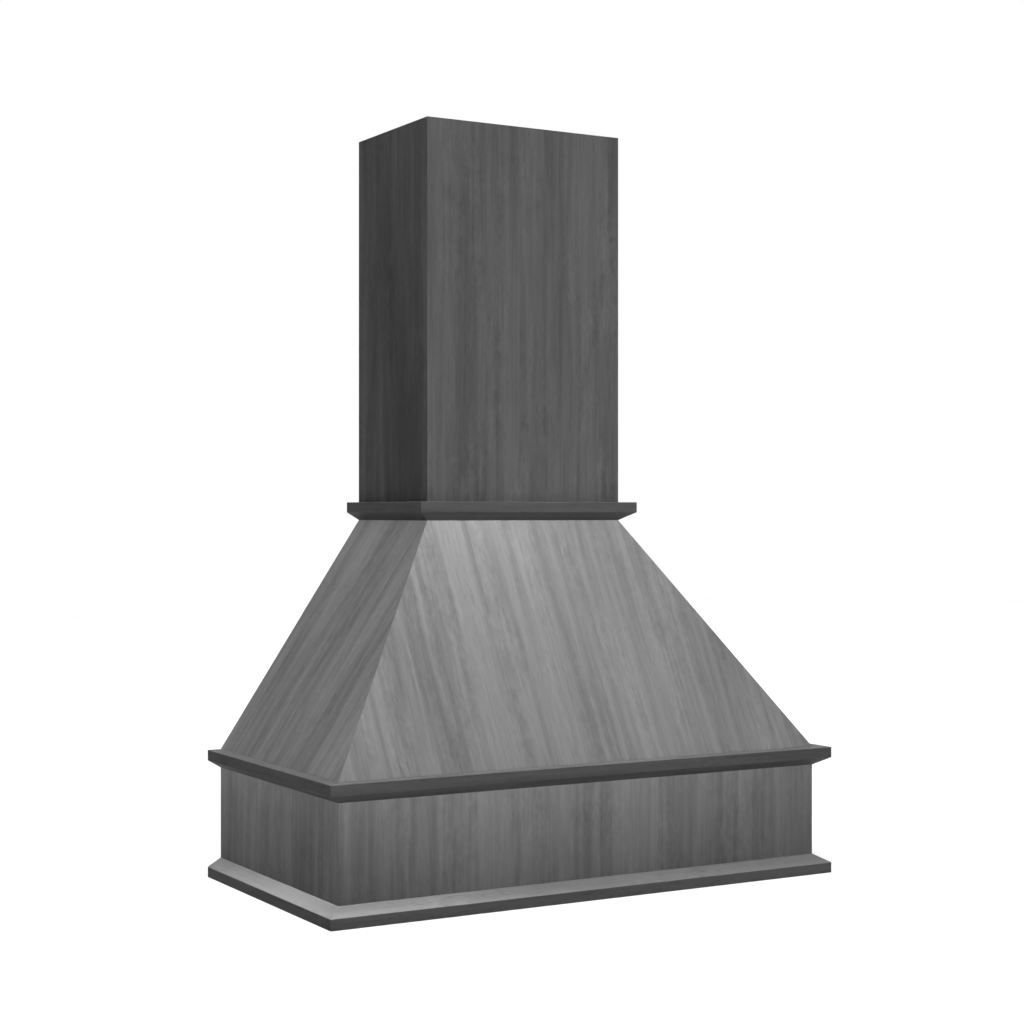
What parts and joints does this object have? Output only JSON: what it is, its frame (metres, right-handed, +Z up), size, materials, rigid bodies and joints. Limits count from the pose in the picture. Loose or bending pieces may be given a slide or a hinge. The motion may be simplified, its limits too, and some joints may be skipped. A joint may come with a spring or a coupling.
{
  "type": "wooden range hood cover",
  "caption": "Wall-mounted wooden range hood cover: rectangular skirt with mouldings, hipped sloping canopy and boxed chimney, hollow inside for a ventilator liner and duct.",
  "frame": {"origin": "on the wall plane, at the middle of the back edge of the cover's foot", "axes": "+X to the right seen from the front, +Y into the wall, +Z up"},
  "size_m": [0.962, 0.507, 1.299],
  "materials": {
    "stained_panel": "dark grey stained oak veneer, satin lacquer, grain up the panels",
    "stained_moulding": "solid wood in a darker grey stain, satin lacquer, grain along the length",
    "raw_batten": "bare planed softwood",
    "raw_ply": "bare birch plywood",
    "beech_dowel": "bare beech",
    "zinc_screw": "zinc plated"
  },
  "bodies": {
    "root": {"skirt_front_panel": "stained_panel", "skirt_left_panel": "stained_panel", "skirt_right_panel": "stained_panel", "slope_front_panel": "stained_panel", "slope_left_panel": "stained_panel", "slope_right_panel": "stained_panel", "chimney_front_panel": "stained_panel", "chimney_left_panel": "stained_panel", "chimney_right_panel": "stained_panel", "base_moulding_front": "stained_moulding", "base_moulding_left": "stained_moulding", "base_moulding_right": "stained_moulding", "band_moulding_front": "stained_moulding", "band_moulding_left": "stained_moulding", "band_moulding_right": "stained_moulding", "collar_moulding_front": "stained_moulding", "collar_moulding_left": "stained_moulding", "collar_moulding_right": "stained_moulding", "liner_ledger_front": "raw_batten", "liner_ledger_left": "raw_batten", "liner_ledger_right": "raw_batten", "liner_ledger_rear": "raw_batten", "base_frame_front": "raw_batten", "base_frame_left": "raw_batten", "base_frame_right": "raw_batten", "base_frame_rear": "raw_batten", "top_frame_front": "raw_batten", "top_frame_left": "raw_batten", "top_frame_right": "raw_batten", "top_frame_rear": "raw_batten", "slope_cleat_front": "raw_batten", "slope_cleat_left": "raw_batten", "slope_cleat_right": "raw_batten", "chimney_cleat_front": "raw_batten", "chimney_cleat_left": "raw_batten", "chimney_cleat_right": "raw_batten", "ceiling_cleat_front": "raw_batten", "ceiling_cleat_left": "raw_batten", "ceiling_cleat_right": "raw_batten", "hip_block_left": "raw_batten", "hip_block_right": "raw_batten", "skirt_corner_block_left": "raw_batten", "skirt_corner_block_right": "raw_batten", "chimney_corner_block_left": "raw_batten", "chimney_corner_block_right": "raw_batten", "skirt_wall_rail": "raw_ply", "canopy_wall_rail": "raw_ply", "chimney_wall_rail_lower": "raw_ply", "chimney_wall_rail_upper": "raw_ply", "rail_dowels": "beech_dowel", "ledger_screws": "zinc_screw", "base_frame_screws": "zinc_screw", "slope_cleat_screws": "zinc_screw", "chimney_cleat_screws": "zinc_screw", "chimney_panel_screws": "zinc_screw", "ceiling_cleat_screws": "zinc_screw"}
  },
  "joints": []
}
